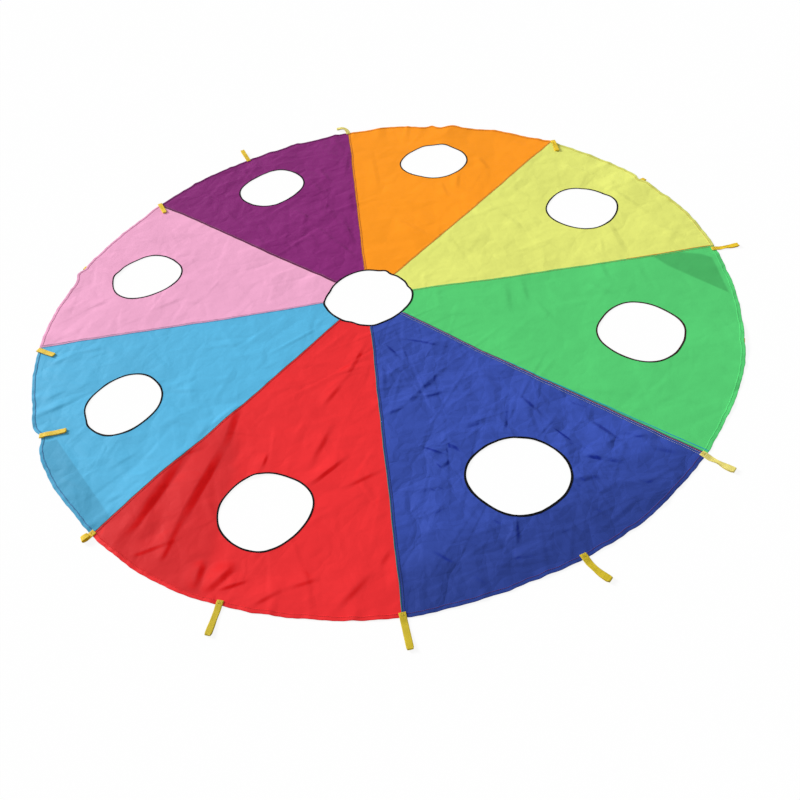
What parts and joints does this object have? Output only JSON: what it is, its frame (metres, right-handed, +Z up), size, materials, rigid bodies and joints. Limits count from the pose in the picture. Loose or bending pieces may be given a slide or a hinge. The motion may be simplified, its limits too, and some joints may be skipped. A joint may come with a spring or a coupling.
{
  "type": "play parachute",
  "caption": "Round play parachute of coloured sewn cloth panels, each with a bound ball hole, with a bound centre hole and webbing grab handles round the rim.",
  "frame": {"origin": "middle of the round canopy, on the floor that it lies on", "axes": "+Z up from the floor, +X along the seams that the canopy folds on, +Y towards the half that folds over"},
  "size_m": [3.1177, 3.1737, 0.0128],
  "materials": {
    "cloth_purple": "woven taffeta with a slight sheen",
    "cloth_pink": "woven taffeta with a slight sheen",
    "cloth_light_blue": "woven taffeta with a slight sheen",
    "cloth_red": "woven taffeta with a slight sheen",
    "cloth_blue": "woven taffeta with a slight sheen",
    "cloth_green": "woven taffeta with a slight sheen",
    "cloth_yellow": "woven taffeta with a slight sheen",
    "cloth_orange": "woven taffeta with a slight sheen",
    "binding_tape": "matt woven tape",
    "webbing": "ribbed woven webbing"
  },
  "bodies": {
    "near_half": {"panel_light_blue": "cloth_light_blue", "hole_binding_light_blue": "binding_tape", "panel_red": "cloth_red", "hole_binding_red": "binding_tape", "panel_blue": "cloth_blue", "hole_binding_blue": "binding_tape", "panel_green": "cloth_green", "hole_binding_green": "binding_tape", "centre_binding_near": "binding_tape", "strap_end_light_blue_pink": "webbing", "strap_end_light_blue": "webbing", "strap_end_red_light_blue": "webbing", "strap_end_red": "webbing", "strap_end_blue_red": "webbing", "strap_end_blue": "webbing", "strap_end_green_blue": "webbing", "strap_end_green": "webbing", "strap_end_yellow_green": "webbing"},
    "far_half": {"panel_purple": "cloth_purple", "hole_binding_purple": "binding_tape", "panel_pink": "cloth_pink", "hole_binding_pink": "binding_tape", "panel_yellow": "cloth_yellow", "hole_binding_yellow": "binding_tape", "panel_orange": "cloth_orange", "hole_binding_orange": "binding_tape", "centre_binding_far": "binding_tape", "strap_end_purple_orange": "webbing", "strap_end_purple": "webbing", "strap_end_pink_purple": "webbing", "strap_end_pink": "webbing", "strap_end_yellow": "webbing", "strap_end_orange_yellow": "webbing", "strap_end_orange": "webbing"},
    "handle_purple_orange": {"handle_purple_orange": "webbing"},
    "handle_purple": {"handle_purple": "webbing"},
    "handle_pink_purple": {"handle_pink_purple": "webbing"},
    "handle_pink": {"handle_pink": "webbing"},
    "handle_light_blue_pink": {"handle_light_blue_pink": "webbing"},
    "handle_light_blue": {"handle_light_blue": "webbing"},
    "handle_red_light_blue": {"handle_red_light_blue": "webbing"},
    "handle_red": {"handle_red": "webbing"},
    "handle_blue_red": {"handle_blue_red": "webbing"},
    "handle_blue": {"handle_blue": "webbing"},
    "handle_green_blue": {"handle_green_blue": "webbing"},
    "handle_green": {"handle_green": "webbing"},
    "handle_yellow_green": {"handle_yellow_green": "webbing"},
    "handle_yellow": {"handle_yellow": "webbing"},
    "handle_orange_yellow": {"handle_orange_yellow": "webbing"},
    "handle_orange": {"handle_orange": "webbing"}
  },
  "joints": [
    {"name": "fold_in_half", "type": "hinge", "parent": "near_half", "child": "far_half", "pos_m": [0, 0, 0.0131], "axis": [1, 0, 0], "range_deg": [0, 180]},
    {"name": "handle_swing_purple_orange", "type": "hinge", "parent": "far_half", "child": "handle_purple_orange", "pos_m": [-0.00022, 1.50249, 0.0064], "axis": [0.9962, 0.0872, 0], "range_deg": [0, 180]},
    {"name": "handle_swing_purple", "type": "hinge", "parent": "far_half", "child": "handle_purple", "pos_m": [-0.58196, 1.38522, 0.0064], "axis": [0.9286, 0.3712, 0], "range_deg": [0, 180]},
    {"name": "handle_swing_pink_purple", "type": "hinge", "parent": "far_half", "child": "handle_pink_purple", "pos_m": [-1.06164, 1.06296, 0.0064], "axis": [0.9205, 0.3907, 0], "range_deg": [-180, 0]},
    {"name": "handle_swing_pink", "type": "hinge", "parent": "far_half", "child": "handle_pink", "pos_m": [-1.38813, 0.57498, 0.0064], "axis": [0.3827, 0.9239, 0], "range_deg": [0, 180]},
    {"name": "handle_swing_light_blue_pink", "type": "hinge", "parent": "near_half", "child": "handle_light_blue_pink", "pos_m": [-1.50203, -0.01618, 0.0064], "axis": [-0.52, -0.8542, 0], "range_deg": [0, 180]},
    {"name": "handle_swing_light_blue", "type": "hinge", "parent": "near_half", "child": "handle_light_blue", "pos_m": [-1.39779, -0.55081, 0.0064], "axis": [0.0964, -0.9953, 0], "range_deg": [0, 180]},
    {"name": "handle_swing_red_light_blue", "type": "hinge", "parent": "near_half", "child": "handle_red_light_blue", "pos_m": [-1.06243, -1.06243, 0.0064], "axis": [0.7071, -0.7071, 0], "range_deg": [-180, 0]},
    {"name": "handle_swing_red", "type": "hinge", "parent": "near_half", "child": "handle_red", "pos_m": [-0.57473, -1.38822, 0.0064], "axis": [0.9588, -0.284, 0], "range_deg": [-180, 0]},
    {"name": "handle_swing_blue_red", "type": "hinge", "parent": "near_half", "child": "handle_blue_red", "pos_m": [0.00026, -1.50249, 0.0064], "axis": [0.9945, 0.1045, 0], "range_deg": [-180, 0]},
    {"name": "handle_swing_blue", "type": "hinge", "parent": "near_half", "child": "handle_blue", "pos_m": [0.57486, -1.38818, 0.0064], "axis": [0.9426, 0.3338, 0], "range_deg": [-180, 0]},
    {"name": "handle_swing_green_blue", "type": "hinge", "parent": "near_half", "child": "handle_green_blue", "pos_m": [1.05674, -1.06804, 0.0064], "axis": [0.812, 0.5837, 0], "range_deg": [-180, 0]},
    {"name": "handle_swing_green", "type": "hinge", "parent": "near_half", "child": "handle_green", "pos_m": [1.38813, -0.57498, 0.0064], "axis": [0.3827, 0.9239, 0], "range_deg": [-180, 0]},
    {"name": "handle_swing_yellow_green", "type": "hinge", "parent": "near_half", "child": "handle_yellow_green", "pos_m": [1.50236, -0.02017, 0.0064], "axis": [0.0657, 0.9978, 0], "range_deg": [-180, 0]},
    {"name": "handle_swing_yellow", "type": "hinge", "parent": "far_half", "child": "handle_yellow", "pos_m": [1.38813, 0.57498, 0.0064], "axis": [0.3827, -0.9239, 0], "range_deg": [0, 180]},
    {"name": "handle_swing_orange_yellow", "type": "hinge", "parent": "far_half", "child": "handle_orange_yellow", "pos_m": [1.06769, 1.05614, 0.0064], "axis": [0.9997, -0.024, 0], "range_deg": [-180, 0]},
    {"name": "handle_swing_orange", "type": "hinge", "parent": "far_half", "child": "handle_orange", "pos_m": [0.57498, 1.38813, 0.0064], "axis": [0.9239, -0.3827, 0], "range_deg": [0, 180]}
  ]
}
